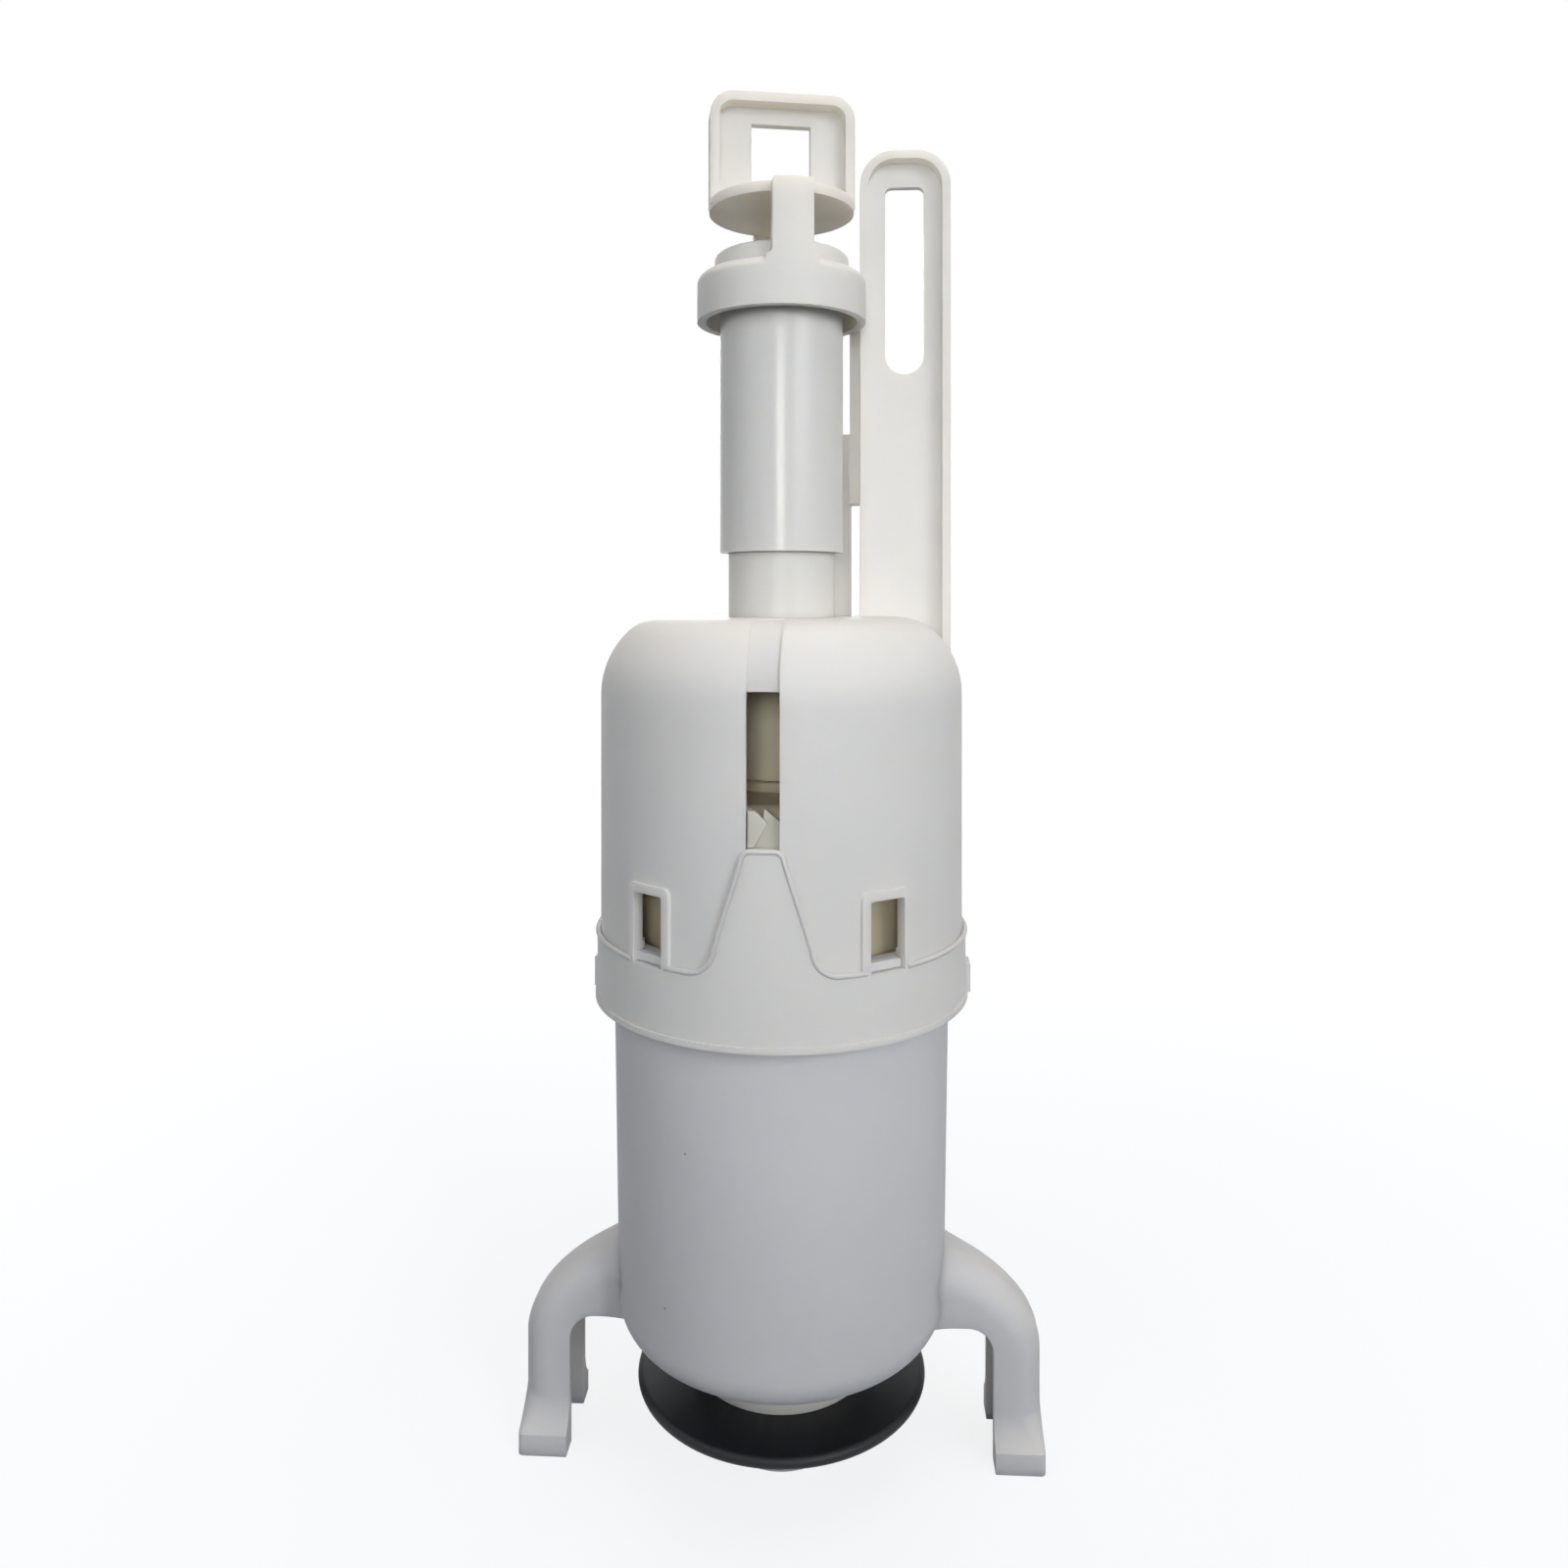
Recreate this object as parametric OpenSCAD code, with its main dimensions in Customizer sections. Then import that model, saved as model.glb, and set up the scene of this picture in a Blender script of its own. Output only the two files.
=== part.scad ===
// Toilet flush valve: a float-held overflow riser in a two-piece housing on two legs.
// Millimetres, +Z up. The origin is on the riser's axis, level with the soles of the feet.
// The adjusting slot faces the front, towards -Y, and the legs stand to either side.
// The riser is drawn at the top of its lift, as it stands on a bench.

/* [Cup] */
// Outside radius of the cup at its rim
cup_r = 37.7; // [34:0.1:42]
// How much the outside radius shrinks from the rim to the bottom corner
cup_draft = 1.2; // [0:0.1:2.5]
// Wall and floor thickness of the cup
cup_wall = 1.8; // [1.2:0.1:3]
// Height of the underside of the cup floor
cup_floor_z = 26; // [24:0.5:28]
// Height of the cup rim
cup_rim_z = 117; // [110:0.5:125]
// Outside radius of the bottom corner
cup_corner = 6.5; // [5:0.5:9]
// Diameter of the drain holes in the cup floor
drain_d = 5; // [3:0.5:7]

/* [Legs] */
// Distance from the axis to the outer face of a leg
leg_reach = 57.8; // [54:0.1:62]
// Thickness of a leg, seen from the front
leg_t = 9.5; // [7:0.5:11]
// Width of a leg from front to rear
leg_w = 16; // [13:0.5:20]
// Height of the flat underside of a leg's shoulder above the underside of the cup
leg_under = 2.8; // [1.5:0.1:5]
// Height at which a leg starts to bend towards the cup
leg_bend_z = 21.5; // [18:0.5:24]
// Radius of the bend on the outside of a leg
leg_bend_r = 19; // [16:0.5:22]
// Radius of the long curve that carries the bend on up to the cup
leg_slope_r = 72; // [60:1:90]
// Wall thickness of the hollow legs
leg_wall = 2; // [1.4:0.1:2.6]
// Radius of a leg's outer edges
leg_round = 6.5; // [4:0.1:7]
// Height of a foot's sole block
foot_h = 4.6; // [3:0.1:7]
// How far a foot stands out in front of its leg and behind it
foot_out = 3.3; // [2:0.1:8]
// Height of the sloping top of a foot above its sole block
foot_slope = 6.4; // [4:0.1:9]

/* [Cap] */
// Radial play between the cup wall and the cap wall
cap_play = 1; // [0.5:0.1:1.5]
// Wall thickness of the cap
cap_wall = 1.8; // [1.4:0.1:2.4]
// Height of the flat top of the cap above the cup rim
cap_rise = 67.5; // [61:0.5:73]
// Width of the rounded shoulder
shoulder_w = 14; // [11:0.5:16]
// Height of the rounded shoulder
shoulder_h = 17; // [14:0.5:19]
// How far the band, the front panel and the window frames stand proud
band_proud = 0.8; // [0.4:0.1:1.2]
// Height of the band round the joint with the cup
band_h = 14.6; // [12:0.2:17]
// Depth that the cap reaches down over the cup rim
cap_overlap = 16; // [14:0.5:20]
// Height of the lip at the foot of the band
lip_h = 1.2; // [0.8:0.1:2]
// Width of the clip windows
window_w = 8.2; // [6:0.1:9]
// Height of the clip windows
window_h = 14.3; // [10:0.1:17]
// Angle of the clip windows to either side of the front and the rear
window_angle = 36; // [30:1:45]
// Width of the raised frame round a window
window_frame = 1.8; // [1.2:0.1:2.4]
// Width of the front panel at its foot
panel_foot_w = 19; // [17:0.5:26]
// Width of the front panel at its top
panel_top_w = 8.4; // [8:0.1:12]
// Height of the band's key lugs at either side
key_h = 6.5; // [4:0.5:9]
// Angle from straight ahead to the adjusting slot, its panel and the clip windows
front_turn = -2; // [-10:0.5:10]

/* [Adjuster] */
// Width of the front slot
slot_w = 6.6; // [6:0.1:8]
// Height of the lower end of the front slot above the cup rim
slot_rise = 23; // [19:0.5:26]
// Height of the front slot
slot_h = 30.5; // [26:0.5:33]
// Depth of the groove above the slot
groove_deep = 1.2; // [0.5:0.1:1.2]
// Height of the slider's finger tab
knob_h = 7.2; // [5:0.1:8]
// Width of the finger tab at its foot
knob_foot_w = 1.2; // [0.8:0.1:2]
// Width of the finger tab where it is widest
knob_w = 3.8; // [3:0.1:5]
// Half angle that the shutter covers round the axis
shutter_angle = 12; // [9:0.5:15]
// Height of the shutter
shutter_h = 26; // [20:0.5:30]
// Thickness of the shutter
shutter_t = 1.9; // [1.4:0.1:2.2]

/* [Lever bracket] */
// Height of the bracket above the flat top of the cap
bracket_h = 108.7; // [90:0.1:116]
// Width of the bracket
bracket_w = 21; // [17:0.5:22]
// Distance from the axis plane to the front edge of the bracket's rim
bracket_y = 8.5; // [7:0.1:10]
// Depth of the bracket's rim from front to rear
bracket_deep = 5.5; // [4:0.1:7]
// Thickness of the bracket's web
bracket_web = 2; // [1.5:0.1:3]
// Thickness of the bracket's rim
bracket_rim = 1.9; // [1.4:0.1:2.5]
// Radius of the bracket's top corners
bracket_corner = 8; // [4:0.1:9]
// Width of the lever slot
lever_slot_w = 9.2; // [6:0.1:11]
// Height of the lever slot
lever_slot_h = 44.1; // [30:0.1:50]
// Distance from the top of the bracket down to the lever slot
lever_slot_drop = 7.5; // [6:0.1:12]
// Height of the middle of the round ear on the bracket's left above the flat top of the cap
bulge_rise = 35; // [30:0.5:38]
// Height of the round ear
bulge_h = 17; // [13:0.5:20]
// How far the ear stands out to the left
bulge_out = 2.7; // [1.5:0.1:3]

/* [Riser and seal] */
// Outside radius of the riser
riser_r = 12; // [11:0.1:12.5]
// Wall thickness of the riser
riser_wall = 1.8; // [1.4:0.1:2.2]
// Height of the top of the riser above the flat top of the cap
riser_rise = 61.5; // [54:0.5:64]
// Height of the lower end of the riser
riser_low_z = 5.5; // [4:0.5:7]
// Radius of the riser's hub under the cup
hub_r = 17; // [15:0.5:18]
// Height of the riser's hub
hub_h = 5.5; // [3:0.1:8]
// Radius of the riser's flange on the seal
flange_r = 19.5; // [18.5:0.5:22]
// Thickness of the riser's flange
flange_t = 3.5; // [2:0.1:4]
// Outside radius of the rubber seal
seal_r = 32.3; // [29:0.1:34]
// Thickness of the rubber seal
seal_t = 2.6; // [2:0.1:3]
// Outside radius of the clamp washer
clamp_r = 24; // [20:0.5:27]
// Thickness of the clamp washer
clamp_t = 1.4; // [1:0.1:2]
// Wall thickness of the seal nut
nut_wall = 1.4; // [1:0.1:2]
// Radius of the seal nut's grip flange
nut_flange_r = 17.5; // [16:0.5:20]
// Height of the seal nut's grip flange
nut_flange_h = 2.4; // [2:0.1:3]

/* [Float] */
// Radial gap between the float and the rails that hold the shutter
float_play = 1.6; // [1:0.1:4]
// Height of the top of the float above the cup rim
float_rise = 30; // [25:0.5:32]
// Height of the float
float_h = 55; // [48:0.5:62]
// Wall thickness of the float
float_wall = 1.6; // [1.2:0.1:2.2]
// Thickness of the float's lid
float_lid_t = 1.6; // [1.2:0.1:2.2]
// Number of ribs inside the float
float_ribs = 4; // [3:1:6]

/* [Sleeve and pull head] */
// Outside radius of the extension sleeve
sleeve_r = 13.9; // [13.6:0.1:14.5]
// Height of the lower end of the sleeve above the flat top of the cap
sleeve_rise = 14.5; // [13.5:0.5:20]
// Length of the sleeve
sleeve_h = 67; // [64:0.5:72]
// How far the bead at the top of the sleeve stands out
bead_out = 1.3; // [0.8:0.1:1.5]
// Outside radius of the pull head's collar
collar_r = 19.1; // [18:0.1:20]
// Height of the collar
collar_h = 10.6; // [8:0.2:13]
// Distance from the top of the sleeve down to the top of the collar
collar_drop = 4.4; // [4:0.1:7]
// Wall thickness of the collar
collar_wall = 2; // [1.5:0.1:2.5]
// Width of the two arms that carry the disc
arm_w = 8.9; // [7:0.1:11]
// Radius of the disc under the loop
disc_r = 16.4; // [15:0.1:17.5]
// Height of the top of the disc above the top of the collar
disc_rise = 16.4; // [14.4:0.1:22]
// Thickness of the disc
disc_t = 2.3; // [1.8:0.1:3]
// Height of the lifting loop above the disc
loop_h = 24.2; // [22:0.1:28]
// Width of the lifting loop
loop_w = 32.8; // [28:0.2:33]
// Width of the eye in the lifting loop
eye_w = 13.6; // [10:0.2:18]
// Height of the eye above the disc
eye_h = 18.4; // [12:0.1:19]
// Depth of the loop's rim from front to rear
loop_deep = 6; // [4:0.1:7]
// Thickness of the loop's rim
loop_rim = 2.1; // [1.2:0.1:2.4]
// Thickness of the loop's web
loop_web = 2.2; // [1.6:0.1:3]
// Radius of the loop's top corners
loop_corner = 5.3; // [3:0.1:6]
// Angle that the pull head is turned to, from straight ahead
head_turn = 11; // [-45:1:45]

/* [Fits] */
// Gap between faces that slide or turn on each other
run_gap = 0.3; // [0.2:0.05:0.4]
// Gap in fits that are pushed together by hand
push_gap = 0.05; // [0.03:0.01:0.1]

/* [Hidden] */
$fn = 96;

white = [0.91, 0.91, 0.88];
cool_white = [0.82, 0.84, 0.88];
black = [0.08, 0.08, 0.09];
steel = [0.7, 0.71, 0.72];
// Overlap that makes two forms of one moulding grow together
weld = 0.4;
// Overshoot of a cut past the face that it opens
over = 1;

// Cup
cup_base_r = cup_r - cup_draft;
cup_wall_low_z = cup_floor_z + cup_corner;
riser_hole_r = riser_r + run_gap;
drain_ring_r = (riser_hole_r + cup_base_r - cup_wall) / 2;
snap_w = window_w - 2 * run_gap;
snap_h = 2;
key_w = 5;

// Cap
cap_in_r = cup_r + cap_play;
cap_r = cap_in_r + cap_wall;
cap_low_z = cup_rim_z - cap_overlap;
cap_top_z = cup_rim_z + cap_rise;
band_r = cap_r + band_proud;
band_top_z = cap_low_z + band_h;
window_low_z = cup_rim_z - snap_h;
window_top_z = window_low_z + window_h;
stop_rib_r = cup_r - cup_wall / 2;
stop_rib_h = 1.5;
window_corner = 0.6;
panel_fillet = 5.5;
panel_corner = 2;
guide_wall = 1.6;
guide_h = 12;
// The shoulder is two tangent arcs, each turning 45 degrees
turn_c = 1 - cos(45);
turn_s = sin(45);
turn_k = turn_s * turn_s - turn_c * turn_c;
shoulder_low_r = (turn_s * shoulder_h - turn_c * shoulder_w) / turn_k;
shoulder_high_r = (turn_s * shoulder_w - turn_c * shoulder_h) / turn_k;
shoulder_z = cap_top_z - shoulder_h;

// Adjuster
slot_low_z = cup_rim_z + slot_rise;
// Share of its depth that the groove has lost where it meets the flat top
groove_fade = 0.8;
shutter_r = cap_in_r - run_gap;
shutter_in_r = shutter_r - shutter_t;
knob_low_z = slot_low_z + run_gap;
shutter_top_z = knob_low_z + knob_h;
shutter_low_z = shutter_top_z - shutter_h;
rail_t = 1.6;
rail_r = shutter_in_r - run_gap;
rail_in_r = rail_r - rail_t;
rail_angle = 2.4;
rail_gap_angle = 0.6;
rail_from = shutter_angle + rail_gap_angle;
teeth = 4;
tooth_w = slot_w / 2;
tooth_h = 2.4;
tooth_tip = 0.4;
knob_slope_h = knob_h - tooth_h;

// Bracket
head_room = 0.7;
bracket_top_z = cap_top_z + bracket_h;
lever_slot_high_z = bracket_top_z - lever_slot_drop;
lever_slot_low_z = lever_slot_high_z - lever_slot_h;
bulge_z = cap_top_z + bulge_rise;
bracket_x = sqrt(pow(collar_r + head_room, 2) - pow(bracket_y, 2));
bracket_right = bracket_x + bracket_w;
bracket_rear = bracket_y + bracket_deep;
bracket_web_y = bracket_rear - bracket_web;
bracket_mid = bracket_x + bracket_w / 2;
bracket_root = 3;
bracket_low_z = shoulder_z - bracket_root;
lever_corner = 1.6;
bulge_r = (pow(bulge_h / 2, 2) + pow(bulge_out, 2)) / (2 * bulge_out);
tongue_gap = 2;
tongue_t = 1.8;
tongue_w = 10;
tongue_right = bracket_x - tongue_gap;
tongue_back = 1.3;
tongue_y = bracket_rear + tongue_back;
strip_out = 2.4;
strip_t = 1.5;
strip_h = 28;

// Riser stack, from the cup floor down
riser_top_z = cap_top_z + riser_rise;
hub_top_z = cup_floor_z - run_gap;
seal_top_z = hub_top_z - hub_h - flange_t;
seal_low_z = seal_top_z - seal_t;
clamp_low_z = seal_low_z - clamp_t;
nut_low_z = run_gap;
nut_r = riser_r + push_gap + nut_wall;
riser_bore_r = riser_r - riser_wall;
shoulder_ring_out = 2;
shoulder_ring_h = 2.2;
groove_cut = 0.9;
groove_r = riser_r - groove_cut;
clip_h = 2;
clip_out = 3;
clip_mouth_w = 17;
ring_t = run_gap + groove_cut;
ring_play = 0.4;
ring_groove_h = ring_t + ring_play;
ring_drop = 7;
ring_z = riser_top_z - ring_drop;
grips = 8;
grip_r = 2.5;

// Float
float_r = rail_in_r - float_play;
float_top_z = cup_rim_z + float_rise;
float_low_z = float_top_z - float_h;
float_hub_r = riser_r + push_gap + float_wall;
float_in_r = float_r - float_wall;
float_round = 4;

// Sleeve and head
sleeve_bore_r = riser_r + run_gap + push_gap;
sleeve_low_z = cap_top_z + sleeve_rise;
sleeve_top_z = sleeve_low_z + sleeve_h;
collar_top_z = sleeve_top_z - collar_drop;
bead_low_z = collar_top_z + run_gap;
bead_r = sleeve_r + bead_out;
collar_low_z = collar_top_z - collar_h;
collar_plate_z = collar_top_z - collar_wall;
collar_round = 2.4;
head_clip_top_z = collar_plate_z - run_gap;
head_clip_h = 2;
head_clip_out = 1.6;
head_clip_r = sleeve_r + head_clip_out;
head_clip_bore_r = sleeve_r - groove_cut / 2;
head_mouth_w = 8.4;
bead_round = (sleeve_top_z - bead_low_z) / 3;
arm_in_r = bead_r + 2 * run_gap;
arm_fillet = 1.4;
arm_corner = 0.8;
disc_top_z = collar_top_z + disc_rise;
disc_low_z = disc_top_z - disc_t;

// Points along an arc about [x, y], from angle a to angle b
function arc(x, y, r, a, b, steps = 12) =
    [for (i = [0:steps]) let (t = a + (b - a) * i / steps) [x + r * cos(t), y + r * sin(t)]];

// A tube about the axis
module tube(r, bore, low, high) {
    translate([0, 0, low])
        difference() {
            cylinder(r = r, h = high - low);
            translate([0, 0, -over])
                cylinder(r = bore, h = high - low + 2 * over);
        }
}

// A curved slab about the axis, between two radii and two angles from the front
module sector(r, bore, from, to, low, high) {
    translate([0, 0, low])
        rotate([0, 0, from - 90])
            rotate_extrude(angle = to - from)
                translate([bore, 0])
                    square([r - bore, high - low]);
}

// An upright slab of an outline drawn in the XZ plane, from y = near to y = far
module upright(near, far) {
    translate([0, far, 0])
        rotate([90, 0, 0])
            linear_extrude(far - near)
                children();
}

// Two copies, one to either side of the axis
module both_sides() {
    children();
    mirror([1, 0, 0])
        children();
}

// Four copies at the angles of the clip windows
module at_windows() {
    for (end = [0, 180])
        for (side = [-1, 1])
            rotate([0, 0, front_turn + end + side * window_angle])
                children();
}

// Turned to the angle of the adjusting slot
module at_front() {
    rotate([0, 0, front_turn])
        children();
}

// The cup's outside form, moved in by inset
module cup_form(inset) {
    rotate_extrude()
        polygon(concat(
            [[0, cup_floor_z + inset]],
            arc(cup_base_r - cup_corner, cup_wall_low_z, cup_corner - inset, -90, 0),
            [[cup_r - inset, cup_rim_z + (inset > 0 ? over : 0)]],
            [[0, cup_rim_z + (inset > 0 ? over : 0)]]));
}

// Leg: its outer edge rises straight from the sole, bends through 45 degrees and runs on
// in a long curve to the cup
leg_in = leg_reach - leg_t;
leg_under_z = cup_floor_z + leg_under;
leg_start_x = cup_base_r - cup_wall - 2 * weld;
leg_fillet = 5;
leg_bends = 14;
bend_mid = [leg_reach - leg_bend_r, leg_bend_z];
slope_mid = bend_mid - (leg_slope_r - leg_bend_r) * [cos(45), sin(45)];
leg_root_a = acos((leg_start_x - slope_mid[0]) / leg_slope_r);
foot_top_z = foot_h + foot_slope;
foot_round = 1.2;

// Point of the outer edge where its normal is at angle a above the horizontal
function leg_edge(a) =
    a > 45 ? slope_mid + leg_slope_r * [cos(a), sin(a)] :
    bend_mid + leg_bend_r * [cos(a), sin(a)];

// Point of the inner edge opposite, for a share of the way from the sole's side to the cup:
// round the fillet, then along the flat underside
function leg_hollow(share) =
    let (turn_x = leg_in - leg_fillet)
    share > 1 / 2 ? [turn_x + (leg_start_x - turn_x) * (2 * share - 1), leg_under_z] :
    [turn_x, leg_under_z - leg_fillet] + leg_fillet * [cos(180 * share), sin(180 * share)];

// Outer end, inner end and edge radius of each section, from the cup wall down to the sole
leg_stations = concat(
    [for (i = [0:leg_bends]) let (share = 1 - i / leg_bends)
        [leg_edge(share * leg_root_a), leg_hollow(share), leg_round]],
    [[[leg_reach, foot_top_z], [leg_in, foot_top_z], leg_round],
        [[leg_reach, foot_h], [leg_in, foot_h], foot_round],
        [[leg_reach, 0], [leg_in, 0], foot_round]]);

// Half of the channel section as [share of the way in, distance in from the outer edge, y]:
// once round a wall whose outer edge radius is edge, set in by inset
function leg_wall_line(edge, inset) =
    let (r = max(edge - inset, foot_round / 2), side = leg_w / 2 - inset, mid = side - r, steps = 4)
    concat(
        [[1, 0, -side]],
        [for (p = arc(inset + r, -mid, r, 270, 180, steps)) [0, p[0], p[1]]],
        [for (p = arc(inset + r, mid, r, 180, 90, steps)) [0, p[0], p[1]]],
        [[1, 0, side]]);

// The whole channel section of one station, round the outside and back round the inside
function leg_section(edge) =
    let (inner = leg_wall_line(edge, leg_wall))
    concat(leg_wall_line(edge, 0), [for (i = [len(inner) - 1:-1:0]) inner[i]]);

function quad(a, b, c, d) = [[a, b, c], [a, c, d]];

// The channel lofted through its stations
module leg_channel() {
    n = len(leg_section(leg_round));
    m = n / 2;
    end = (len(leg_stations) - 1) * n;
    points = [for (st = leg_stations) for (q = leg_section(st[2]))
        let (way = st[1] - st[0], p = st[0] + way * (q[0] + q[1] / norm(way))) [p[0], q[2], p[1]]];
    sides = [for (i = [0:n:end - n]) for (j = [0:n - 1]) let (k = (j + 1) % n)
        each quad(i + j, i + k, i + n + k, i + n + j)];
    root_cap = [for (j = [0:m - 2]) each quad(j + 1, j, n - 1 - j, n - 2 - j)];
    sole_cap = [for (j = [0:m - 2]) each quad(end + j, end + j + 1, end + n - 2 - j, end + n - 1 - j)];
    polyhedron(points, concat(sides, root_cap, sole_cap), convexity = 4);
}

// Side view of a foot's toe, in the YZ plane: a sole block under a hollow slope
module toe_side() {
    half = leg_w / 2;
    slope_r = (pow(foot_out, 2) + pow(foot_slope, 2)) / (2 * foot_out);
    slope_a = asin(foot_slope / slope_r);
    polygon(concat(
        [[half - leg_wall / 2, 0], [half + foot_out, 0]],
        arc(half + slope_r, foot_top_z, slope_r, 180 + slope_a, 180),
        [[half - leg_wall / 2, foot_top_z]]));
}

module leg() {
    leg_channel();
    // Toes in front and behind, narrowed upwards as the leg's edge grows round
    for (turn = [0, 1])
        mirror([0, turn, 0])
            intersection() {
                translate([leg_in, 0, 0])
                    rotate([90, 0, 90])
                        linear_extrude(leg_t)
                            toe_side();
                upright(0, leg_w)
                    polygon([[leg_in - over, -over], [leg_reach + over, -over], [leg_reach + over, foot_h],
                        [leg_reach, foot_h], [leg_reach - leg_round, foot_top_z + over],
                        [leg_in - over, foot_top_z + over]]);
            }
}

module lower_cup() {
    color(cool_white)
        difference() {
            union() {
                cup_form(0);
                // Snap tabs that catch the lower edge of the cap's windows
                at_windows()
                    translate([-snap_w / 2, -cap_r + run_gap, window_low_z + run_gap])
                        cube([snap_w, cap_play + cap_wall + weld, snap_h - run_gap]);
                // Keys that stop the cap from turning
                for (side = [-1, 1])
                    translate([side * (cup_r + band_r) / 2, 0, cap_low_z + key_h / 2])
                        cube([band_r - cup_r + 2 * weld + cup_draft, key_w, key_h], center = true);
                both_sides()
                    leg();
            }
            cup_form(cup_wall);
            translate([0, 0, cup_floor_z - over])
                cylinder(r = riser_hole_r, h = cup_wall + 2 * over);
            for (side = [-1, 1])
                translate([0, side * drain_ring_r, cup_floor_z - over])
                    cylinder(d = drain_d, h = cup_wall + cup_corner);
        }
}

// The cap's outside form, moved in by inset
module cap_form(inset) {
    rotate_extrude()
        polygon(concat(
            [[0, cap_low_z - (inset > 0 ? over : 0)]],
            [[cap_r - inset, cap_low_z - (inset > 0 ? over : 0)]],
            arc(cap_r - shoulder_low_r, shoulder_z, shoulder_low_r - inset, 0, 45),
            arc(cap_r - shoulder_w, cap_top_z - shoulder_high_r, shoulder_high_r - inset, 45, 90),
            [[0, cap_top_z - inset]]));
}

// Rounded window outline in the XZ plane, grown by grow
module window_face(grow) {
    round_r = window_corner + grow / 2;
    half = window_w / 2 + grow;
    top = window_top_z + grow;
    polygon(concat(
        [[-half, window_low_z], [half, window_low_z]],
        arc(half - round_r, top - round_r, round_r, 0, 90, 6),
        arc(-half + round_r, top - round_r, round_r, 90, 180, 6)));
}

// Front panel outline in the XZ plane, from inside the band up to the slot
module panel_face() {
    flare = panel_foot_w / 2 + panel_fillet;
    round_x = panel_top_w / 2 - panel_corner;
    fillet_z = band_top_z - weld + panel_fillet;
    round_z = slot_low_z - panel_corner;
    polygon(concat(
        arc(flare, fillet_z, panel_fillet, 270, 180, 6),
        arc(round_x, round_z, panel_corner, 0, 90, 6),
        arc(-round_x, round_z, panel_corner, 90, 180, 6),
        arc(-flare, fillet_z, panel_fillet, 360, 270, 6)));
}

// Outline of the bracket in the XZ plane, moved in by inset, without its bulge
module bracket_face(inset) {
    corner = bracket_corner - inset;
    polygon(concat(
        [[bracket_x + inset, bracket_low_z], [bracket_right - inset, bracket_low_z]],
        arc(bracket_right - bracket_corner, bracket_top_z - bracket_corner, corner, 0, 90),
        arc(bracket_x + bracket_corner, bracket_top_z - bracket_corner, corner, 90, 180)));
}

// Outline of the lever slot: nearly square above, round below
module lever_slot_face() {
    half = lever_slot_w / 2;
    translate([bracket_mid, 0])
        polygon(concat(
            arc(0, lever_slot_low_z + half, half, 180, 360, 24),
            arc(half - lever_corner, lever_slot_high_z - lever_corner, lever_corner, 0, 90, 6),
            arc(lever_corner - half, lever_slot_high_z - lever_corner, lever_corner, 90, 180, 6)));
}

// The part of a disc that bulges out to the left of the bracket
module bulge_face() {
    intersection() {
        translate([bracket_x - bulge_out + bulge_r, bulge_z])
            circle(r = bulge_r);
        translate([bracket_x - 2 * bulge_out, bulge_z - bulge_h])
            square([2 * bulge_out + weld, 2 * bulge_h]);
    }
}

module lever_bracket() {
    difference() {
        upright(bracket_y, bracket_rear)
            bracket_face(0);
        // Recess that leaves the rim standing
        upright(bracket_y - over, bracket_web_y)
            bracket_face(bracket_rim);
        upright(bracket_y - over, bracket_rear + over)
            lever_slot_face();
    }
    // Round ear in line with the web
    upright(bracket_web_y, bracket_rear)
        bulge_face();
    // Thin strip beside the rim above the ear, cut off at a slant
    upright(bracket_rear - strip_t, bracket_rear)
        polygon([[bracket_x + weld, bulge_z], [bracket_x + weld, bulge_z + bulge_h / 2 + strip_h],
            [bracket_x - strip_out, bulge_z + bulge_h / 2 + strip_h - strip_out],
            [bracket_x - strip_out, bulge_z]]);
    // Tongue behind the riser, tied to the bracket at the ear
    upright(tongue_y, tongue_y + tongue_t)
        polygon([[tongue_right - tongue_w, cap_top_z - cap_wall], [tongue_right, cap_top_z - cap_wall],
            [tongue_right, bulge_z - bulge_h / 2], [bracket_x + bracket_rim, bulge_z - bulge_h / 2],
            [bracket_x + bracket_rim, bulge_z + bulge_h / 2],
            [tongue_right - tongue_w, bulge_z + bulge_h / 2]]);
    upright(bracket_web_y, tongue_y + weld)
        translate([bracket_x - strip_out, bulge_z - bulge_h / 2])
            square([strip_out + bracket_rim, bulge_h]);
}

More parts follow.
